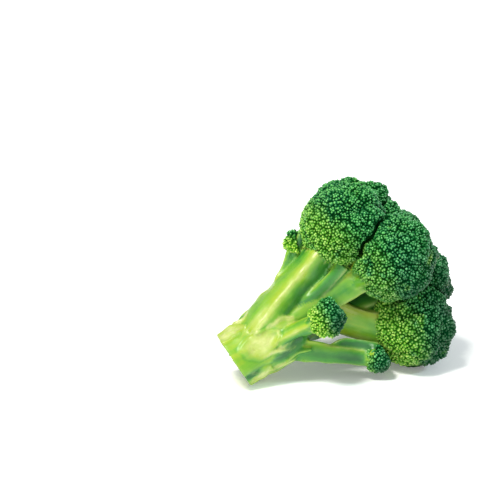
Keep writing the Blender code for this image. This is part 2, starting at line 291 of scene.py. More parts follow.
# how much the skin's green is painted lighter or darker by the way it faces the painted sun side
PAINTED_SUN_ON_SKIN = 0.35
WAVE_PITCH = 9 * MM
WAVE_DEPTH = 1.1 * MM  # inwards
WAVE_LEVEL = 0.4
FACE_GREEN = 0.75  # the faces between ribs are this much greener
GROOVE_GREEN = 0.18
HOLLOW_GREEN = 0.9
HOLLOW_DULL = 0.8
HOLLOW_STRETCH = 0.45

# Thin shoots that fan out under a floret
SPRIG_SEED = 200
SPRIGS_FROM_RADIUS = 0.95
SPRIG_RADII = (1.7 * MM, 0.95 * MM)
SPRIG_LEVELS = (0.05, 0.62)  # below the floret's middle
SPRIG_STARTS = (0.55, 0.8)  # along the branch
SPRIG_SHORT = 2.6 * MM  # of the floret's surface
SPRIG_BENDS = (0.5, 0.12, 0.4)

TABLE_GLOW = 0.16
TABLE_HALF = 6.0

# The camera looks along +Y and down. Its frame is 288 mm wide at the head.
FRAME_WIDTH = 288 * MM
CAMERA_PITCH = math.radians(18)
LENS = 400
SENSOR = 36
FRAME_CENTRE = CUT_CENTRE * (1, 1, 0) + (4 * MM, 0, 0)
FRAME_RISE = 85.8 * MM
HEAD_DEPTH = 27 * MM


def unit(vector):
    """A vector scaled to length 1."""
    return vector / np.linalg.norm(vector)


def units(vectors):
    """Each row scaled to length 1."""
    return vectors / np.linalg.norm(vectors, axis=-1, keepdims=True)


def direction(yaw, pitch):
    """The unit vector that turns by yaw from +X towards +Y and climbs by pitch."""
    return np.array([math.cos(pitch) * math.cos(yaw), math.cos(pitch) * math.sin(yaw), math.sin(pitch)])


UP = np.array([0.0, 0.0, 1.0])
LINE = direction(LINE_YAW, LINE_PITCH)
LINE_UP = unit(UP - LINE[2] * LINE)
LINE_NEAR = np.cross(LINE, LINE_UP)
CUT_INWARDS = direction(CUT_YAW, CUT_PITCH)


def on_line(height):
    """A point of the stalk's middle line."""
    return CUT_CENTRE + height * LINE


def round_line(turn):
    """The unit vector square to the stalk's line, at that turn round it in degrees."""
    angle = math.radians(turn)
    return math.cos(angle) * LINE_UP + math.sin(angle) * LINE_NEAR


def trunk_radius(height):
    """The stalk's radius at a height in mm."""
    return STALK_RADIUS * np.interp(height, *zip(*TRUNK))


def across(axis, towards):
    """Two unit vectors square to an axis and to each other."""
    side = unit(np.cross(axis, towards))
    return side, np.cross(axis, side)


def smooth_step(value, low, high):
    """A share that rises smoothly from 0 at low to 1 at high."""
    share = np.clip((value - low) / (high - low), 0, 1)
    return share * share * (3 - 2 * share)


class Floret:
    """One floret's place, size and tint, with the lobes that make its outline."""

    def __init__(self, number, name, turn, lean, distance, radius, underside, stem, start, *look):
        self.number = number
        self.short_name = name
        self.name = "floret_" + name
        self.radius = radius * MM
        self.underside = underside * self.radius
        self.stem = stem * MM
        self.start = start
        # light is the floret's level of painted light and shade on its buds
        self.yellow, self.light, rib_turn, self.green = look
        self.rib_side = round_line(rib_turn)
        self.aside = round_line(turn)
        self.lean_share = math.sin(math.radians(lean))
        outwards = math.cos(math.radians(lean)) * LINE + self.lean_share * self.aside
        self.centre = on_line(FORK) + distance * MM * outwards
        self.facing = unit(self.centre - on_line(FACING))
        self.side, self.other_side = across(self.facing, LINE_UP + 0.4 * LINE_NEAR)
        self.lobes = self.lobe_centres(np.random.default_rng(number))

    def lobe_centres(self, rng):
        """Middles of the lobes, spread over the outer side in a sunflower's order."""
        count = round(LOBES_FROM_RADIUS * self.radius / MM)
        step = np.arange(count)
        height = 1 - (step + 0.5) / count * LOBE_COVER
        height = height + rng.uniform(-LOBE_HEIGHT_JITTER, LOBE_HEIGHT_JITTER, count)
        turn = step * GOLDEN_TURN + rng.uniform(0, 2 * math.pi)
        turn = turn + rng.uniform(-LOBE_TURN_JITTER, LOBE_TURN_JITTER, count)
        spread = np.sqrt(np.clip(1 - height**2, 0, 1))
        points = np.outer(height, self.facing)
        points = points + np.outer(spread * np.cos(turn), self.side)
        points = points + np.outer(spread * np.sin(turn), self.other_side)
        return LOBE_OUT * self.radius * points


def sphere_reach(ways, centre, radius):
    """How far a sphere reaches along each direction, or 0 where it is missed."""
    along = ways @ centre
    under_root = radius**2 - centre @ centre + along**2
    return np.where(under_root > 0, along + np.sqrt(np.maximum(under_root, 0)), 0)


def dome_reach(floret, ways):
    """How far the lobed dome reaches along each direction from the floret's middle."""
    body = np.full(len(ways), BODY_SHARE * floret.radius)
    lobes = [sphere_reach(ways, lobe, LOBE_RADIUS * floret.radius) for lobe in floret.lobes]
    powers = [(reach / floret.radius) ** LOBE_BLEND for reach in [body, *lobes]]
    return floret.radius * np.sum(powers, axis=0) ** (1 / LOBE_BLEND)


def plane_reach(ways, normal, distance):
    """How far each direction goes before it meets a plane. A metre stands for never."""
    towards = ways @ normal
    return np.where(towards > TINY, distance / np.maximum(towards, TINY), 1.0)


def walls_reach(floret, ways):
    """How far each direction may go inside the flat underside and the seams."""
    walls = [plane_reach(ways, -floret.facing, floret.underside)]
    for other in floret.others:
        away = other.centre - floret.centre
        apart = np.linalg.norm(away)
        shared = (apart**2 + floret.radius**2 - other.radius**2) / (2 * apart)
        flat = plane_reach(ways, away / apart, shared)
        waves = np.sin((floret.centre + flat[:, None] * ways) @ SEAM_WAYS.T) @ SEAM_SHARES
        sway = SEAM_WAVE * math.copysign(1, other.number - floret.number) * waves
        seam = np.maximum(shared - GAP + sway, SEAM_LEAST * shared)
        walls.append(plane_reach(ways, away / apart, seam))
    return np.array(walls)


def floret_reach(floret, ways):
    """The floret's outline along each direction, and whether it is free dome there."""
    dome = dome_reach(floret, ways)
    walls = walls_reach(floret, ways)
    limits = np.vstack([dome[None], walls])
    nearest = limits.min(axis=0)
    soft = nearest - ROUNDING * np.log(np.exp((nearest - limits) / ROUNDING).sum(axis=0))
    ground = plane_reach(ways, -UP, floret.centre[2])
    return np.minimum(soft, ground), (dome < walls.min(axis=0) + SEAM) & (soft < ground)


def count_on(floret, pitch):
    """How many points that far apart cover the floret's sphere."""
    return 4 * math.pi * floret.radius**2 / (HEXAGON * pitch**2)


def sunflower_ways(count):
    """Evenly spread unit vectors."""
    step = np.arange(count)
    height = 1 - (2 * step + 1) / count
    spread = np.sqrt(1 - height**2)
    turn = step * GOLDEN_TURN
    return np.stack([spread * np.cos(turn), spread * np.sin(turn), height], axis=1)


def tree_of(points):
    """A search tree of numbered points."""
    tree = kdtree.KDTree(len(points))
    for number, point in enumerate(points):
        tree.insert(point, number)
    tree.balance()
    return tree


def nearest_in(tree, points):
    """Number of the nearest point of the tree, and its distance, for each point."""
    found = [tree.find(point)[1:] for point in points]
    numbers, distances = zip(*found)
    return np.array(numbers), np.array(distances)


class FloretSkin:
    """The finer surface of a floret: the CAD's dome with lumps and clusters of buds."""

    def __init__(self, floret, rng):
        self.floret = floret
        self.clusters = self.scattered(BEAD_PITCH, BEAD_JITTER, rng)
        self.lumps = self.scattered(LUMP_PITCH, LUMP_JITTER, rng)

    def scattered(self, pitch, jitter, rng):
        """Points of the dome about that far apart, as a search tree."""
        ways = sunflower_ways(round(count_on(self.floret, pitch)))
        ways = units(ways + rng.normal(0, jitter * pitch / self.floret.radius, ways.shape))
        reach, _ = floret_reach(self.floret, ways)
        return tree_of(reach[:, None] * ways)

    def at(self, ways, inset):
        """Points of the surface, how deep in a crease, and whether they are free dome."""
        reach, free = floret_reach(self.floret, ways)
        points = reach[:, None] * ways
        _, distance = nearest_in(self.clusters, points)
        crease = np.clip(distance / (CLUSTER_REACH * BEAD_PITCH), 0, 1) ** 2
        _, distance = nearest_in(self.lumps, points)
        valley = np.clip(distance / (CLUSTER_REACH * LUMP_PITCH), 0, 1) ** 3
        depth = inset + CREASE_DEPTH * crease + LUMP_DEPTH * valley
        return (reach - np.where(free, depth, 0))[:, None] * ways, crease, free


def normals_at(skin, ways, inset):
    """Outward normals of the surface, from its slope two ways."""
    step = 0.02
    aslant = UP + 0.01  # clear of the straight up direction
    side = units(np.cross(ways, aslant))
    other = np.cross(ways, side)
    middle, _, _ = skin.at(ways, inset)
    first, _, _ = skin.at(units(ways + step * side), inset)
    second, _, _ = skin.at(units(ways + step * other), inset)
    normal = units(np.cross(first - middle, second - middle))
    return normal * np.sign(np.sum(normal * ways, axis=1))[:, None]


def crowd(points, least):
    """Numbers of the points that stay, none nearer than that to another."""
    tree = tree_of(points)
    gone = np.zeros(len(points), bool)
    kept = []
    for number, point in enumerate(points):
        if gone[number]:
            continue
        kept.append(number)
        for _, other, _ in tree.find_range(point, least):
            gone[other] = True
    return np.array(kept)


def bud_ways(floret, skin, rng):
    """Directions of evenly crowded buds on the free part of the dome."""
    tries = sunflower_ways(round(CANDIDATES * count_on(floret, BUD_PITCH)))
    tries = tries[rng.permutation(len(tries))]
    points, _, free = skin.at(tries, BUD_INSET)
    tries, points = tries[free], points[free]
    chosen = tries[crowd(points, CROWDING * BUD_PITCH)]
    steps = RELAX_STEPS
    for _ in range(steps):
        places, _, _ = skin.at(chosen, BUD_INSET)
        owner, _ = nearest_in(tree_of(places), points)
        total = np.zeros_like(chosen)
        np.add.at(total, owner, tries)
        held = np.bincount(owner, minlength=len(chosen))
        chosen[held > 0] = units(total[held > 0])
    return chosen


def bud_template():
    """Corners and triangles of one closed bud."""
    turns = [2 * math.pi * step / BUD_SIDES for step in range(BUD_SIDES)]
    corners = [(0, 0, 1.0)]
    for height, radius in BUD_RINGS:
        corners += [(radius * math.cos(turn), radius * math.sin(turn), height) for turn in turns]
    corners.append((0, 0, -1.0))
    last = len(corners) - 1
    lowest = last - BUD_SIDES
    faces = []
    for step in range(BUD_SIDES):
        after = (step + 1) % BUD_SIDES
        faces.append((0, 1 + step, 1 + after))
        for upper in range(1, lowest, BUD_SIDES):
            lower = upper + BUD_SIDES
            faces.append((upper + step, lower + step, lower + after))
            faces.append((upper + step, lower + after, upper + after))
        faces.append((last, lowest + after, lowest + step))
    return np.array(corners), np.array(faces)


def buds_of(floret, skin, rng):
    """Corners, triangles, tones and heights of all buds of a floret. The heights also set the buds'
    painted shade.
    """
    ways = bud_ways(floret, skin, rng)
    tips, crease, _ = skin.at(ways, BUD_INSET)
    normals = normals_at(skin, ways, BUD_INSET)
    count = len(tips)
    tree = tree_of(tips)
    near = [tree.find_n(tip, BUD_NEIGHBOURS + 1)[1:] for tip in tips]
    spacing = np.array([np.mean([hit[2] for hit in hits]) for hits in near])
    radius = BUD_FILL * np.clip(spacing, *BUD_SPACINGS)
    radius = radius * rng.uniform(*BUD_SIZES, count)
    length = BUD_LENGTH * radius * rng.uniform(*BUD_LENGTHS, count)
    axis = units(normals + rng.normal(0, BUD_TILT, normals.shape))
    side = units(np.cross(axis, rng.normal(0, 1, axis.shape)))
    other = np.cross(axis, side)
    sink = rng.uniform(0, BUD_SINK, count)
    narrow = radius * rng.uniform(*BUD_WIDTHS, count)
    corners, faces = bud_template()
    places = (tips - (length + sink)[:, None] * normals)[:, None]
    for number, (size, way) in enumerate(((radius, side), (narrow, other), (length, axis))):
        places = places + corners[None, :, number : number + 1] * (size[:, None] * way)[:, None]
    triangles = faces[None] + (np.arange(count) * len(corners))[:, None, None]
    tone = np.repeat(rng.uniform(0, 1, count), len(corners))
    height = np.tile((corners[:, 2] + 1) / 2, count)
    # Buds in creases between clusters get a lower height mark, and so more painted shade.
    height = height * (1 - CREASE_SHADE * np.repeat(crease, len(corners)))
    return places.reshape(-1, 3), triangles.reshape(-1, 3), tone, height


def arrays_of(mesh):
    """Corners and faces of a bmesh, which is freed."""
    mesh.verts.index_update()
    corners = np.array([vertex.co for vertex in mesh.verts])
    faces = np.array([[vertex.index for vertex in face.verts] for face in mesh.faces])
    mesh.free()
    return corners, faces


def face_normals(corners, faces):
    """Normals of triangles, as long as twice their area."""
    corner = corners[faces]
    return np.cross(corner[:, 1] - corner[:, 0], corner[:, 2] - corner[:, 0])


def core_of(floret, skin):
    """The body under the buds, hollowed out below: corners, triangles, tones and heights."""
    mesh = bmesh.new()
    for point in sunflower_ways(round(count_on(floret, CORE_PITCH))):
        mesh.verts.new(point)
    hull = bmesh.ops.convex_hull(mesh, input=mesh.verts[:])
    bmesh.ops.delete(mesh, geom=hull["geom_interior"], context="VERTS")
    ways, faces = arrays_of(mesh)
    turned = np.sum(face_normals(ways, faces) * ways[faces[:, 0]], axis=1) < 0
    faces[turned] = faces[turned][:, ::-1]
    points, _, free = skin.at(ways, BUD_INSET + CORE_DEPTH)
    down = np.clip(-ways @ floret.facing, 0, 1)
    points = points * (1 - HOLLOW * np.where(free, 0, down**HOLLOW_POWER))[:, None]
    # The core's low height marks give it the painted shade of the gaps between buds.
    return points, faces, np.full(len(points), 0.5), np.where(free, 0.0, CORE_HEIGHT)


def placed(name, data):
    """A new object of the scene, made of that data."""
    made = bpy.data.objects.new(name, data)
    bpy.context.scene.collection.objects.link(made)
    return made


def add_attribute(data, name, kind, key, values):
    """A mesh attribute with a value for each corner."""
    attribute = data.attributes.new(name, kind, "POINT")
    attribute.data.foreach_set(key, np.ascontiguousarray(values, np.float32).ravel())


def mesh_object(name, corners, faces, tints, material):
    """A smooth mesh object with a colour attribute called tint."""
    data = bpy.data.meshes.new(name)
    data.from_pydata(corners.tolist(), [], faces.tolist())
    add_attribute(data, "tint", "FLOAT_COLOR", "color", tints)
    data.shade_smooth()
    data.materials.append(material)
    return placed(name, data)


def make_floret(floret, material):
    """A floret's core and buds as one piece."""
    rng = np.random.default_rng(BUD_SEED + floret.number)
    skin = FloretSkin(floret, rng)
    core, core_faces, *core_marks = core_of(floret, skin)
    buds, bud_faces, *bud_marks = buds_of(floret, skin, rng)
    corners = np.concatenate([core, buds])
    faces = np.concatenate([core_faces, bud_faces + len(core)])
    tone, height = np.concatenate([core_marks, bud_marks], axis=1)
    level = corners @ unit(floret.facing + YELLOW_SIDE * LINE) / floret.radius
    rim = 1 - smooth_step(level, RIM_LEVEL, RIM_RISE * floret.yellow + RIM_START)
    rim = rim * min(1, RIM_STRENGTH * floret.yellow)
    # Painted light and shade: the floret's own painted light level, raised on the side that faces the
    # painted sun side and lowered on the far side.
    light = floret.light + PAINTED_SUN_ON_BUDS * (corners @ PAINTED_SUN_SIDE) / floret.radius
    tints = np.stack([tone, height, rim, light], axis=1)
    corners[:, 2] = np.maximum(corners[:, 2], -floret.centre[2])
    made = mesh_object("buds_" + floret.short_name, corners + floret.centre, faces, tints, material)
    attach(made, "root")
    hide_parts(floret.name)


def bezier(points):
    """Points along a cubic Bezier curve."""
    share = ALONG[:, None]
    start, first, second, end = points
    rest = 1 - share
    early = rest**3 * start + 3 * rest**2 * share * first
    return early + 3 * rest * share**2 * second + share**3 * end


# Each path from here on is a middle line and its radii.
def branch_path(floret):
    """A branch, from inside the stalk up into its floret."""
    root = on_line(FORK * floret.start) + ROOT_ASIDE * (1 - floret.start) * floret.aside
    tip = floret.centre - BRANCH_TIP * floret.radius * floret.facing
    length = np.linalg.norm(tip - root)
    leave = root + BRANCH_LEAVE * length * unit(LINE + BRANCH_SPLAY * floret.lean_share * floret.aside)
    arrive = tip - BRANCH_ARRIVE * length * floret.facing
    flare = BRANCH_FLARE * floret.radius - floret.stem
    flared = flare * np.clip((ALONG - FLARE_START) / (1 - FLARE_START), 0, 1) ** 2
    radii = floret.stem * (1 + BRANCH_TAPER * (1 - ALONG) ** 2) + flared
    return bezier((root, leave, arrive, tip)), radii


def rooted(path, radii):
    """The branch with a taper before it that flows out of the stalk's skin."""
    share = np.linspace(0, 1, ROOT_STEPS, endpoint=False)[:, None]
    forward = unit(path[1] - path[0])
    way = (1 - share) * LINE + share * forward
    root = path[0] - ROOT_LENGTH * (1 - share) * units(way)
    root = root - ROOT_SUNK * (1 - share) ** 2 * radii[0] * forward
    thin = radii[0] * (ROOT_TIP + (1 - ROOT_TIP) * smooth_step(share[:, 0], 0, 1))
    return np.concatenate([root, path]), np.concatenate([thin, radii])


def twig_paths(floret):
    """The twigs that spread under a large floret."""
    count = round(TWIGS_FROM_RADIUS * floret.radius / MM)
    if count < FEWEST_TWIGS:
        return
    start = branch_path(floret)[0][round(TWIG_FORK * (PATH_STEPS - 1))]
    radii = floret.radius * np.linspace(*TWIG_RADII, PATH_STEPS)
    for turn in 2 * math.pi * (np.arange(count) + TWIG_TURN) / count:
        spread = math.cos(turn) * floret.side + math.sin(turn) * floret.other_side
        tip = floret.centre + floret.radius * (TWIG_OUT * spread - TWIG_BELOW * floret.facing)
        bend = start + TWIG_BEND * ((tip - start) @ floret.facing) * floret.facing
        yield bezier((start, bend, tip - TWIG_END * (tip - bend), tip)), radii


def shoot_path(floret, start, turn, out, below, radius):
    """A side shoot that leaves a branch low down for the floret's rim."""
    line, _ = branch_path(floret)
    root = line[round(start * (PATH_STEPS - 1))]
    spread = round_line(turn)
    spread = unit(spread - (spread @ floret.facing) * floret.facing)
    tip = floret.centre + floret.radius * (out * spread - below * floret.facing)
    bend = root + SHOOT_BEND * np.linalg.norm(tip - root) * unit(LINE + spread)
    radii = radius * MM * (1 + SHOOT_SWELL * (2 * ALONG - 1) ** 2)
    return bezier((root, bend, tip - SHOOT_END * (tip - bend), tip)), radii


def sprig_paths(floret):
    """The thin sprigs that fan out to the floret's lower edge."""
    rng = np.random.default_rng(SPRIG_SEED + floret.number)
    count = round(SPRIGS_FROM_RADIUS * floret.radius / MM)
    level = rng.uniform(*SPRIG_LEVELS, count)
    turn = np.arange(count) * GOLDEN_TURN
    spread = np.cos(turn)[:, None] * floret.side + np.sin(turn)[:, None] * floret.other_side
    ways = np.sqrt(1 - level**2)[:, None] * spread - level[:, None] * floret.facing
    reach, free = floret_reach(floret, ways)
    line, _ = branch_path(floret)
    radii = np.linspace(*SPRIG_RADII, PATH_STEPS)
    outwards, straight, late = SPRIG_BENDS
    for way, far, wanted, step in zip(ways, reach, free, rng.uniform(*SPRIG_STARTS, count)):
        if not wanted:
            continue
        start = line[round(step * (PATH_STEPS - 1))]
        tip = floret.centre + (far - SPRIG_SHORT) * way
        rise = (tip - start) @ floret.facing
        bend = start + outwards * rise * floret.facing + straight * (tip - start)
        yield bezier((start, bend, bend + late * (tip - bend), tip)), radii


def trunk_path():
    """The stalk below its branches. It starts past the cut, which trims it."""
    heights = np.linspace(TRUNK[0][0], TRUNK[-1][0], PATH_STEPS)
    return CUT_CENTRE + np.outer(heights * MM, LINE), trunk_radius(heights)


def stump_path(height, turn, length):
    """A leaf stalk's stump, which leans forwards off the stalk's skin."""
    outwards = round_line(turn)
    root = on_line(height * MM) + (STALK_RADIUS - STUMP_SUNK) * outwards
    tip = root + length * MM * unit(LINE + STUMP_LEAN * outwards)
    bend = (root + tip - STUMP_LEAN * length * MM * outwards) / 2
    return bezier((root, bend, bend, tip)), np.linspace(*STUMP_RADII, PATH_STEPS)


def ridge_path(start, start_turn, end, end_turn, radius):
    """A pale ridge, half sunk in the stalk's skin, that sways a little."""
    heights = start + (end - start) * ALONG
    turns = start_turn + (end_turn - start_turn) * ALONG
    turns = turns + RIDGE_SWAY * np.sin(2 * math.pi * ALONG + start_turn)
    reach = trunk_radius(heights) + RIDGE_PROUD * radius * MM
    places = zip(heights, turns, reach)
    path = np.array([on_line(height * MM) + far * round_line(turn) for height, turn, far in places])
    swell = np.sin(math.pi * ALONG) ** RIDGE_POWER
    return path, radius * MM * (RIDGE_TIP + (1 - RIDGE_TIP) * swell)


def shred_paths():
    """Short shreds that stand out of the stalk's skin."""
    height, turn, spread, count = SHREDS
    rng = np.random.default_rng(SHRED_SEED)
    radii = np.linspace(SHRED_RADIUS, SHRED_TIP * SHRED_RADIUS, PATH_STEPS)
    for _ in range(count):
        up = height + rng.uniform(-1, 1) * spread[0]
        outwards = round_line(turn + rng.uniform(-1, 1) * spread[1])
        root = on_line(up * MM) + (trunk_radius(up) - SHRED_RADIUS) * outwards
        way = unit(outwards + rng.normal(0, SHRED_TILT, 3))
        tip = root + rng.uniform(*SHRED_LENGTH) * way
        bend = (root + tip) / 2 + rng.normal(0, SHRED_CURL, 3)
        yield bezier((root, bend, bend, tip)), radii


def tube_faces(steps):
    """Faces of a tube of that many rings, and of a fan on each end."""
    first = steps * RING_SIDES
    top = first - RING_SIDES
    pairs = [(number, (number + 1) % RING_SIDES) for number in range(RING_SIDES)]
    faces = []
    for low in range(0, top, RING_SIDES):
        high = low + RING_SIDES
        faces += [(low + here, low + after, high + after, high + here) for here, after in pairs]
    for here, after in pairs:
        faces += [(first, after, here), (first + 1, top + here, top + after)]
    return faces


class Skin:
    """Gathers tubes and pads before they grow together.

    Each corner's marks are how pale and how green it is, and its place across and along its tube.
    """

    def __init__(self):
        self.corners = []
        self.faces = []
        self.marks = []
        self.count = 0

    def add(self, corners, faces, marks):
        """Keeps a closed body."""
        self.corners.append(corners)
        self.faces += [tuple(index + self.count for index in face) for face in faces]
        self.marks.append(marks)
        self.count += len(corners)

    def tubes(self, paths, ribs, depth, outwards, green):
        """Tubes with that many ribs of that depth, from one green to another."""
        for path, radii in paths:
            self.tube(path, radii, ribs, depth, outwards, green)

    def tube(self, path, radii, ribs, depth, outwards, green):
        """A tube with sharp ribs, one of which faces outwards, and hollow faces between them."""
        steps = len(path)
        forward = units(np.gradient(path, axis=0))
        side = outwards
        sharp = min(1, depth / SHARP_DEPTH)
        turns = np.arange(RING_SIDES) * 2 * math.pi / RING_SIDES
        travelled = np.concatenate([[0], np.cumsum(np.linalg.norm(np.diff(path, axis=0), axis=1))])
        rings = []
        marks = []
        for step in range(steps):
            side = unit(side - (side @ forward[step]) * forward[step])
            other = np.cross(forward[step], side)
            share = step / (steps - 1)
            fold = np.abs(np.sin(ribs / 2 * turns + RIB_TWIST * share))
            radius = radii[step] * (1 + depth * (RIB_MEAN - fold))
            ring = radius[:, None] * (np.cos(turns)[:, None] * side + np.sin(turns)[:, None] * other)
            rings.append(path[step] + ring)
            greenness = green[0] + (green[1] - green[0]) * share + FACE_GREEN * (fold - 0.5) * sharp
            marks.append(np.column_stack([
                np.clip(1 - fold / RIB_EDGE, 0, 1) * sharp,
                greenness,
                radii[step] * np.cos(turns),
                radii[step] * np.sin(turns),
                np.full(RING_SIDES, travelled[step]),
            ]))
        corners = np.concatenate([*rings, path[:1], path[-1:]])
        marks = np.concatenate([*marks, marks[0][:1], marks[-1][:1]])
        self.add(corners, tube_faces(steps), marks)

    def pad(self, height, turn, length, width):
        """A leaf scar's low oval pad."""
        along, side, inwards, middle = scar_frame(height, turn)
        half_sizes = np.array([length / 2 * MM, width / 2 * MM, SCAR_SUNK + SCAR_PROUD])
        mesh = bmesh.new()
        bmesh.ops.create_icosphere(mesh, subdivisions=4, radius=1)
        places, faces = arrays_of(mesh)
        corners = middle + (places * half_sizes) @ np.array([along, side, inwards])
        grain = [(corners - CUT_CENTRE) @ way for way in (LINE_UP, LINE_NEAR, LINE)]
        tint = np.outer((0, SCAR_GREEN), np.ones(len(corners)))
        self.add(corners, faces.tolist(), np.column_stack([*tint, *grain]))


def scar_frame(height, turn):
    """Directions along and across a leaf scar and into the stalk, and its middle."""
    along = unit(LINE + SCAR_TILT * round_line(turn))
    side, inwards = across(along, round_line(turn))
    return along, side, inwards, on_line(height * MM) - (STALK_RADIUS - SCAR_SUNK) * inwards


def gather_stalk(florets):
    """All the tubes and pads that the stalk's skin grows over."""
    skin = Skin()
    skin.tubes([trunk_path()], 9, 0.05, round_line(20), (0.15, 0.35))
    for floret in florets:
        green = floret.green
        shoots = [shoot_path(floret, *numbers) for name, *numbers in SHOOTS if name == floret.short_name]
        skin.tubes([rooted(*branch_path(floret))], 3, 0.30, floret.rib_side, (0.5 * green, green + 0.25))
        skin.tubes(shoots, 3, 0.25, LINE_UP, (green + 0.1, green + 0.6))
        skin.tubes(twig_paths(floret), 3, 0.20, floret.side, (green + 0.2, 0.9))
        skin.tubes(sprig_paths(floret), 3, 0.05, floret.side, (0.9, 0.6))
    for numbers in LEAF_SCARS:
        skin.pad(*numbers)
    for numbers in LEAF_STUMPS:
        skin.tubes([stump_path(*numbers)], 3, 0.30, round_line(numbers[1]), (0.3, 0.6))
    for numbers in RIDGES:
        skin.tubes([ridge_path(*numbers)], 2, 0.0, round_line(numbers[1]), (PALE_GREEN, PALE_GREEN))
    skin.tubes(shred_paths(), 2, 0.0, UP, (PALE_GREEN, PALE_GREEN))
    return skin


def grown_together(skin):
    """The mesh of one skin round all the tubes and pads."""
    data = bpy.data.meshes.new("gathered")
    data.from_pydata(np.concatenate(skin.corners).tolist(), [], skin.faces)
    holder = placed("gathered", data)
    grown = holder.modifiers.new("grown_together", "REMESH")
    grown.mode = "VOXEL"
    grown.voxel_size = SKIN_VOXEL
    smooth = holder.modifiers.new("smooth", "SMOOTH")
    smooth.factor = 0.5
    smooth.iterations = SKIN_SMOOTHING
    bpy.context.view_layer.update()
    graph = bpy.context.evaluated_depsgraph_get()
    fine = bpy.data.meshes.new_from_object(holder.evaluated_get(graph))
    bpy.data.objects.remove(holder)
    return fine


def joined_to(start):
    """All corners that edges join to one corner."""
    reached = {start}
    waiting = [start]
    while waiting:
        vertex = waiting.pop()
        others = {edge.other_vert(vertex) for edge in vertex.link_edges} - reached
        reached |= others
        waiting += others
    return reached


def trimmed(data):
    """The skin cut off square at the foot, with a cap, and without the small voids inside it."""
    mesh = bmesh.new()
    mesh.from_mesh(data)
    bpy.data.meshes.remove(data)
    whole = mesh.verts[:] + mesh.edges[:] + mesh.faces[:]
    cut = bmesh.ops.bisect_plane(
        mesh, geom=whole, dist=TINY, plane_co=CUT_CENTRE, plane_no=-CUT_INWARDS, clear_outer=True
    )
    rim = [edge for edge in cut["geom_cut"] if isinstance(edge, bmesh.types.BMEdge)]
    cap_with_rings(mesh, rim)
    outer = joined_to(rim[0].verts[0])
    inner = [vertex for vertex in mesh.verts if vertex not in outer]
    bmesh.ops.delete(mesh, geom=inner, context="VERTS")
    bmesh.ops.triangulate(mesh, faces=mesh.faces[:])
    return arrays_of(mesh)


def loop_of(rim):
    """The corners of a closed ring of edges, in order."""
    following = {}
    for edge in rim:
        first, second = edge.verts
        following.setdefault(first, []).append(second)
        following.setdefault(second, []).append(first)
    loop = [rim[0].verts[0]]
    before = None
    while True:
        ahead = [vertex for vertex in following[loop[-1]] if vertex is not before][0]
        if ahead is loop[0]:
            return loop
        before = loop[-1]
        loop.append(ahead)


def cap_with_rings(mesh, rim):
    """Closes the cut with rings of faces that shrink to its middle."""
    loop = loop_of(rim)
    pairs = [(number, (number + 1) % len(loop)) for number in range(len(loop))]
    middle = sum((vertex.co for vertex in loop), Vector()) / len(loop)
    outer = loop
    for share in np.linspace(0, 1, CAP_RINGS + 1)[1:-1]:
        inner = [mesh.verts.new(vertex.co.lerp(middle, share)) for vertex in loop]
        for here, after in pairs:
            mesh.faces.new((outer[here], outer[after], inner[after], inner[here]))
        outer = inner
    centre = mesh.verts.new(middle)
    for here, after in pairs:
        mesh.faces.new((outer[here], outer[after], centre))
    bmesh.ops.recalc_face_normals(mesh, faces=mesh.faces[:])


def round_rim(corners, past_cut, on_cut):
    """Rounds the rim of the cut, and dishes and rings its face."""
    offset = corners - CUT_CENTRE
    aside = offset - (offset @ LINE)[:, None] * LINE
    far = np.linalg.norm(aside, axis=1)
    share = np.clip(past_cut / RIM_ROUND, 0, 1)
    inset = RIM_ROUND * (1 - np.sqrt(1 - (1 - share) ** 2))
    inset = np.where(on_cut, inset * np.clip(far / STALK_RADIUS, 0, 1), inset)
    corners = corners - aside / np.maximum(far, MM)[:, None] * np.where(far > MM, inset, 0)[:, None]
    dished = on_cut * (1 - smooth_step(far, *CUT_DISH_SPAN))
    rings = on_cut * np.cos(far / CUT_RING) * (1 - smooth_step(far, *CUT_RING_SPAN))
    return corners + (CUT_DISH * dished + CUT_RING_DEPTH * rings)[:, None] * CUT_INWARDS


def corner_normals(corners, faces):
    """Normals at the corners of a closed triangle mesh."""
    flat = face_normals(corners, faces)
    total = np.zeros_like(corners)
    for number in range(3):
        np.add.at(total, faces[:, number], flat)
    return units(total + 1e-18)


def relax_values(values, faces, steps):
    """Values at the corners, averaged with their neighbours' a few times."""
    pairs = np.concatenate([faces[:, [0, 1]], faces[:, [1, 2]], faces[:, [2, 0]]])
    pairs = np.concatenate([pairs, pairs[:, ::-1]])
    held = np.bincount(pairs[:, 0], minlength=len(values))[:, None]
    for _ in range(steps):
        total = np.zeros_like(values)
        np.add.at(total, pairs[:, 0], values[pairs[:, 1]])
        values = 0.5 * values + 0.5 * total / held
    return values


def read_marks(skin, corners, faces):
    """Each corner's marks, from the nearest corner of the gathered tubes and pads."""
    nearest, _ = nearest_in(tree_of(np.concatenate(skin.corners)), corners)
    marks = np.concatenate(skin.marks)[nearest]
    marks[:, 0] = np.where(marks[:, 1] < 0.5 * PALE_GREEN, 1, marks[:, 0])
    marks[:, 1] = np.maximum(marks[:, 1], 0)
    marks[:, :2] = relax_values(marks[:, :2], faces, MARK_SMOOTHING)
    return marks


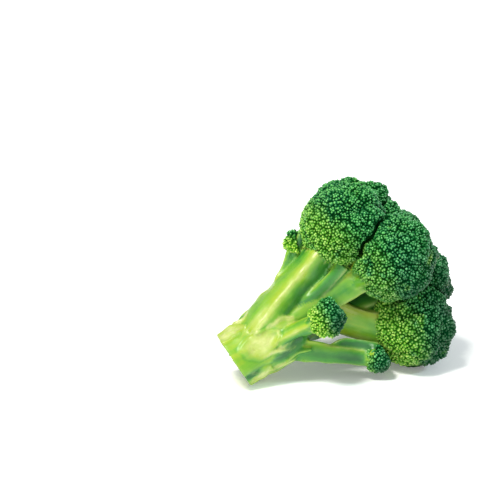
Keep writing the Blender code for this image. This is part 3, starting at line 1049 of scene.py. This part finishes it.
def scar_relief(corners, on_cut, height, turn, length, width):
    """A leaf scar: how far it moves the skin, how pale and how bare of green, and its groove."""
    along, side, inwards, middle = scar_frame(height, turn)
    offset = corners - middle
    forth = offset @ along / (length / 2 * MM)
    forth = np.where(forth < 0, forth / SCAR_TAIL, forth)
    aside = offset @ side / (width / 2 * MM)
    outer = (offset @ inwards < 0) & ~on_cut
    around = np.arctan2(aside, forth)
    ragged = 1 + 0.10 * np.sin(3 * around + turn) + 0.05 * np.sin(7 * around + 2 * turn)
    out = np.sqrt(forth**2 + aside**2) * ragged
    dish = outer * (1 - smooth_step(out, 0.35, 0.85))
    rim = outer * np.exp(-(((out - 0.88) / 0.10) ** 2))
    groove = outer * np.exp(-(((out - 1.10) / 0.07) ** 2))
    moved = SCAR_RIM * rim - SCAR_DISH * dish - SCAR_GROOVE * groove
    pale = 0.95 * outer * (1 - smooth_step(out, 0.30, 1.05))
    return moved, pale, 0.8 * outer * (1 - smooth_step(out, 0.6, 1.1)), groove


def hollow_share(corners, on_cut, height, turn, size):
    """How much each corner lies in a green hollow, longer along the stalk."""
    offset = corners - (on_line(height * MM) + trunk_radius(height) * round_line(turn))
    stretched = offset - HOLLOW_STRETCH * (offset @ LINE)[:, None] * LINE
    near = 1 - smooth_step(np.linalg.norm(stretched, axis=1), 0.1 * size * MM, size * MM)
    return near * ~on_cut


def relief(corners, normals, marks, on_cut):
    """How far the skin moves out, how pale and how green it is, at each corner."""
    waves = np.array([noise.noise(corner) for corner in corners / WAVE_PITCH])
    moved = -WAVE_DEPTH * np.clip(waves + WAVE_LEVEL, 0, 1)
    pale = RIDGE_PALE * marks[:, 0] * (1 - on_cut)
    # Painted light and shade: skin that faces the painted sun side is painted a lighter lime, and skin
    # that faces away a deeper green.
    green = marks[:, 1] - PAINTED_SUN_ON_SKIN * (normals @ PAINTED_SUN_SIDE)
    for numbers in LEAF_SCARS:
        step, paler, bare, groove = scar_relief(corners, on_cut, *numbers)
        moved = moved + step
        pale = np.maximum(pale, paler)
        green = green * (1 - bare) + GROOVE_GREEN * groove
    for *numbers, depth in HOLLOWS:
        near = hollow_share(corners, on_cut, *numbers)
        moved = moved - depth * MM * near
        green = green + HOLLOW_GREEN * near
        pale = pale * (1 - HOLLOW_DULL * near)
    return moved, pale, green


def make_stalk(florets, material):
    """The fine stalk with its ribs, leaf scars and cut face."""
    skin = gather_stalk(florets)
    corners, faces = trimmed(grown_together(skin))
    marks = read_marks(skin, corners, faces)
    normals = corner_normals(corners, faces)
    past_cut = (corners - CUT_CENTRE) @ CUT_INWARDS
    on_cut = past_cut < ON_CUT
    moved, pale, green = relief(corners, normals, marks, on_cut)
    corners = round_rim(corners + moved[:, None] * normals, past_cut, on_cut)
    corners[:, 2] = np.maximum(corners[:, 2], 0)
    offset = corners - CUT_CENTRE
    around = np.stack([offset @ LINE_UP, offset @ LINE_NEAR, np.zeros(len(corners))], axis=1)
    far = np.linalg.norm(around, axis=1) / STALK_RADIUS
    tints = np.stack([pale, green, on_cut * 1.0, far], axis=1)
    made = mesh_object("stalk_skin", corners, faces, tints, material)
    grain = np.where(on_cut[:, None], around, marks[:, 2:])
    add_attribute(made.data, "grain", "FLOAT_VECTOR", "vector", grain)
    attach(made, "root")
    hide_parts("stalk")


class Nodes:
    """Short calls that build a material."""

    def __init__(self, name):
        self.material = bpy.data.materials.new(name)
        self.material.use_nodes = True
        self.tree = self.material.node_tree
        self.place = self.add("TexCoord").outputs["Object"]

    def add(self, kind, inputs=(), **settings):
        """A new node."""
        node = self.tree.nodes.new("ShaderNode" + kind)
        for key, value in settings.items():
            setattr(node, key, value)
        self.fill(node, inputs)
        return node

    def fill(self, node, inputs):
        """Links each input to a socket, or sets it to a value."""
        for key, value in dict(inputs).items():
            if isinstance(value, bpy.types.NodeSocket):
                self.tree.links.new(value, node.inputs[key])
            else:
                node.inputs[key].default_value = value

    def finish(self, inputs):
        """The finished material."""
        self.fill(self.tree.nodes["Principled BSDF"], inputs)
        return self.material

    def tint(self):
        """The four values of the tint."""
        tint = self.add("Attribute", attribute_name="tint")
        parts = self.add("SeparateColor", {"Color": tint.outputs["Color"]})
        return [*parts.outputs, tint.outputs["Alpha"]]

    def noise(self, scale, detail=3.0, roughness=0.5, place=None):
        """A soft noise of about that many cells in a metre."""
        inputs = {"Vector": place or self.place, "Scale": scale, "Detail": detail, "Roughness": roughness}
        return self.add("TexNoise", inputs).outputs["Fac"]

    def math(self, operation, *values):
        """The result of a math node of that operation on its values."""
        return self.add("Math", dict(enumerate(values)), operation=operation).outputs[0]

    def ranged(self, value, low, high, new_low=0.0, new_high=1.0):
        """The value moved from one range to another."""
        inputs = dict(enumerate((value, low, high, new_low, new_high)))
        return self.add("MapRange", inputs).outputs["Result"]

    def mix(self, share, first, second):
        """A colour between two colours."""
        ends = [(*end, 1) if isinstance(end, tuple) else end for end in (first, second)]
        return self.add("Mix", {0: share, 6: ends[0], 7: ends[1]}, data_type="RGBA").outputs[2]

    def bump(self, height, distance, strength):
        """A normal that follows a height."""
        inputs = {"Strength": strength, "Distance": distance, "Height": height}
        return self.add("Bump", inputs).outputs["Normal"]


def bud_material():
    """Closed buds with painted shade below and bright tips, painted light and shade by side, yellow low
    on a floret and in spots.
    """
    nodes = Nodes("buds")
    tone, height, rim, light = nodes.tint()
    patches = nodes.noise(55.0, 2.0)
    # Painted shade: by the height mark, each bud is painted darker towards its base, and the core and
    # gaps between buds darkest; the yellow buds below get the same.
    side = nodes.ranged(height, 0.45, 0.78)
    tip = nodes.ranged(height, 0.74, 1.0)
    deep = nodes.mix(patches, (0.0008, 0.024, 0.003), (0.001, 0.036, 0.008))
    body = nodes.mix(nodes.ranged(patches, 0.35, 0.65), (0.004, 0.165, 0.020), (0.002, 0.130, 0.040))
    bright = nodes.mix(tone, (0.006, 0.20, 0.040), (0.17, 0.66, 0.23))
    # Painted light: buds on the lit side of a floret are painted a lighter lime.
    painted_sunlit = nodes.mix(nodes.math("MULTIPLY", light, 0.6), bright, (0.17, 0.64, 0.12))
    green = nodes.mix(tip, nodes.mix(side, deep, body), painted_sunlit)
    # Painted shade: buds on the side of a floret that faces away from the light are painted a darker
    # green.
    green = nodes.mix(nodes.ranged(light, 0.5, -0.7, 0.0, 0.85), green, (0.0012, 0.050, 0.014))
    yellow_tip = nodes.mix(tone, (0.38, 0.62, 0.025), (0.80, 0.90, 0.18))
    yellow_side = nodes.mix(side, (0.03, 0.16, 0.006), (0.14, 0.44, 0.018))
    yellow = nodes.mix(tip, yellow_side, yellow_tip)
    speckle = nodes.math("ADD", nodes.noise(140.0, 2.0), nodes.math("MULTIPLY", rim, 0.3))
    speckle = nodes.ranged(speckle, 0.40, 0.62)
    spots = nodes.ranged(nodes.noise(75.0), 0.60, 0.70, 0.0, 0.50)
    share = nodes.math("MULTIPLY", nodes.math("MAXIMUM", rim, spots), speckle)
    return nodes.finish({
        "Base Color": nodes.mix(share, green, yellow),
        "Roughness": nodes.ranged(height, 0.50, 0.85, 0.95, 0.22),
        "Specular IOR Level": nodes.ranged(height, 0.60, 0.92, 0.02, 0.58),
        "Normal": nodes.bump(nodes.noise(2600.0, 2.0), 0.10 * MM, 0.5),
    })


def skin_colour(nodes, pale, green, streaks, fibres, patches):
    """Lime skin that is pale on its ridges and scars and deep green in its hollows."""
    green = nodes.math("ADD", green, nodes.ranged(patches, 0.3, 0.7, -0.22, 0.22))
    green = nodes.math("ADD", green, nodes.ranged(streaks, 0.3, 0.7, -0.18, 0.18))
    skin = nodes.mix(nodes.ranged(green, 0.0, 0.4), (0.32, 0.46, 0.022), (0.175, 0.41, 0.022))
    skin = nodes.mix(nodes.ranged(green, 0.4, 0.85), skin, (0.050, 0.26, 0.028))
    skin = nodes.mix(nodes.ranged(green, 0.85, 1.4), skin, (0.014, 0.130, 0.022))
    streaky = nodes.ranged(streaks, 0.52, 0.68, 0.0, 0.60)
    whitish = nodes.math("MULTIPLY", streaky, nodes.ranged(green, 0.1, 0.5, 1.0, 0.0))
    pale = nodes.math("MULTIPLY", pale, nodes.ranged(fibres, 0.2, 0.6, 0.65, 1.0))
    pale = nodes.math("MULTIPLY", pale, nodes.ranged(nodes.noise(190.0, 2.0), 0.35, 0.60, 0.50, 1.0))
    return nodes.mix(nodes.math("MAXIMUM", pale, whitish), skin, (0.62, 0.66, 0.27))


def cut_colour(nodes, far):
    """The cut face: pale pith, a ring of fibres near its rim and green rind round it."""
    wander = nodes.ranged(nodes.noise(160.0), 0.0, 1.0, -0.05, 0.05)
    far = nodes.math("ADD", far, wander)
    cells = nodes.ranged(nodes.noise(1400.0, 2.0), 0.3, 0.7)
    pith = nodes.mix(cells, (0.48, 0.60, 0.20), (0.60, 0.70, 0.30))
    ring = nodes.mix(cells, (0.26, 0.44, 0.07), (0.62, 0.72, 0.33))
    colour = nodes.mix(nodes.ranged(far, 0.70, 0.80), pith, ring)
    return nodes.mix(nodes.ranged(far, 0.84, 0.93), colour, (0.26, 0.42, 0.05))


def stalk_material():
    """Waxy skin from pale lime to deep green, with fibres along it, and a moist cut face."""
    nodes = Nodes("stalk_skin")
    pale, green, cut, far = nodes.tint()
    grain = nodes.add("Attribute", attribute_name="grain").outputs["Vector"]
    stretched = nodes.add("VectorMath", {0: grain, 1: (1.0, 1.0, 0.10)}, operation="MULTIPLY").outputs[0]
    fibres = nodes.noise(900.0, 4.0, 0.6, place=stretched)
    streaks = nodes.noise(240.0, place=stretched)
    patches = nodes.noise(75.0)
    skin = skin_colour(nodes, pale, green, streaks, fibres, patches)
    return nodes.finish({
        "Base Color": nodes.mix(cut, skin, cut_colour(nodes, far)),
        "Roughness": nodes.ranged(patches, 0.3, 0.7, 0.26, 0.42),
        "Specular IOR Level": 0.5,
        "Subsurface Weight": 0.12,
        "Subsurface Radius": (0.5, 1.0, 0.2),
        "Subsurface Scale": 3 * MM,
        "Normal": nodes.bump(fibres, 0.22 * MM, 0.5),
    })


def floor_material():
    """A white table that glows a little, as a light table does."""
    nodes = Nodes("table")
    return nodes.finish({
        "Base Color": nodes.mix(nodes.noise(30.0), (0.90, 0.90, 0.90), (0.93, 0.93, 0.93)),
        "Roughness": 0.7,
        "Specular IOR Level": 0.2,
        "Emission Color": (1, 1, 1, 1),
        "Emission Strength": TABLE_GLOW,
    })


def make_floor():
    """The wide table under the head."""
    data = bpy.data.meshes.new("table")
    ways = ((-1, -1), (1, -1), (1, 1), (-1, 1))
    data.from_pydata([(TABLE_HALF * x, TABLE_HALF * y, 0) for x, y in ways], [], [(0, 1, 2, 3)])
    data.materials.append(floor_material())
    floor = placed("table", data)
    floor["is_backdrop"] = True


def make_sun(name, towards, strength, angle, colour):
    """A far soft light that shines from that direction."""
    data = bpy.data.lights.new(name, "SUN")
    data.energy = strength
    data.angle = math.radians(angle)
    data.color = colour
    light = placed(name, data)
    light.location = towards
    light.rotation_euler = Vector(towards).to_track_quat("Z", "Y").to_euler()


def make_lights():
    """A warm light from the upper left, two weaker ones and a white room."""
    make_sun("key", (-0.38, -0.45, 1.15), 3.0, 15, (1.0, 0.98, 0.92))
    make_sun("side", (0.95, 0.05, 0.60), 1.2, 10, (0.70, 0.92, 1.0))
    make_sun("front", (-0.10, -1.00, 0.10), 0.80, 50, (1.0, 1.0, 0.96))
    world = bpy.data.worlds.new("white_room")
    world.use_nodes = True
    background = world.node_tree.nodes["Background"]
    background.inputs["Color"].default_value = (1, 1, 1, 1)
    background.inputs["Strength"].default_value = 0.50
    bpy.context.scene.world = world


def make_camera():
    """A long lens that frames the head as the photograph does."""
    ahead = np.array([0, math.cos(CAMERA_PITCH), -math.sin(CAMERA_PITCH)])
    up = np.array([0, math.sin(CAMERA_PITCH), math.cos(CAMERA_PITCH)])
    target = FRAME_CENTRE + FRAME_RISE * up + HEAD_DEPTH * ahead
    distance = FRAME_WIDTH * LENS / SENSOR
    data = bpy.data.cameras.new("camera")
    data.lens = LENS
    data.sensor_width = SENSOR
    camera = placed("camera", data)
    camera.location = target - distance * ahead
    camera.rotation_euler = Vector(ahead).to_track_quat("-Z", "Y").to_euler()
    bpy.context.scene.camera = camera
    bpy.context.scene.view_settings.view_transform = "Standard"


def main():
    """Builds the looks in the CAD frame."""
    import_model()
    cad_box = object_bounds()
    florets = [Floret(number, *row) for number, row in enumerate(FLORETS)]
    buds = bud_material()
    for floret in florets:
        floret.others = [other for other in florets if other is not floret]
        make_floret(floret, buds)
    make_stalk(florets, stalk_material())
    make_floor()
    make_lights()
    make_camera()
    visual_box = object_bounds()
    boxes = {"cad": cad_box, "visual": visual_box}
    {name: [list(corner) for corner in box] for name, box in boxes.items()}


main()
